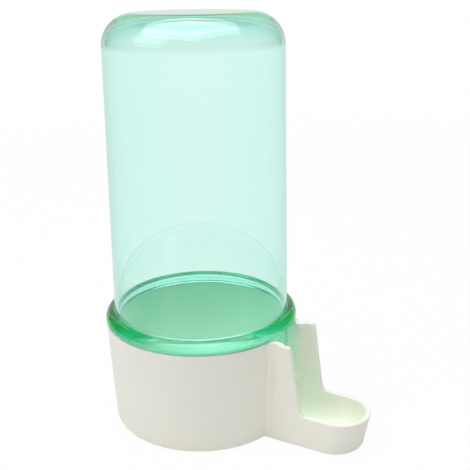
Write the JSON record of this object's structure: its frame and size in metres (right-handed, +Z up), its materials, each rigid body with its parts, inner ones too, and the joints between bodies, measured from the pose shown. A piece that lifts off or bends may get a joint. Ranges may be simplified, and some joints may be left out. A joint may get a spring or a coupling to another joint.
{
  "type": "bird waterer",
  "caption": "Siphon drinker for a bird cage: a clear green tube stands neck down in a round white base with an open throat and a low drinking cup.",
  "frame": {"origin": "centre of the base's flat underside, on the axis of the tube", "axes": "+Z up along the tube, +X out along the throat to the drinking cup, +Y across the throat"},
  "size_m": [0.0956, 0.066, 0.138],
  "materials": {
    "clear_green_styrene": "clear, polished mould",
    "white_polypropylene": "satin"
  },
  "bodies": {
    "base": {"base": "white_polypropylene"},
    "reservoir": {"reservoir": "clear_green_styrene"}
  },
  "joints": [
    {"name": "reservoir_lift", "type": "slide", "parent": "base", "child": "reservoir", "axis": [0, 0, 1], "range_m": [0, 0.035]}
  ]
}
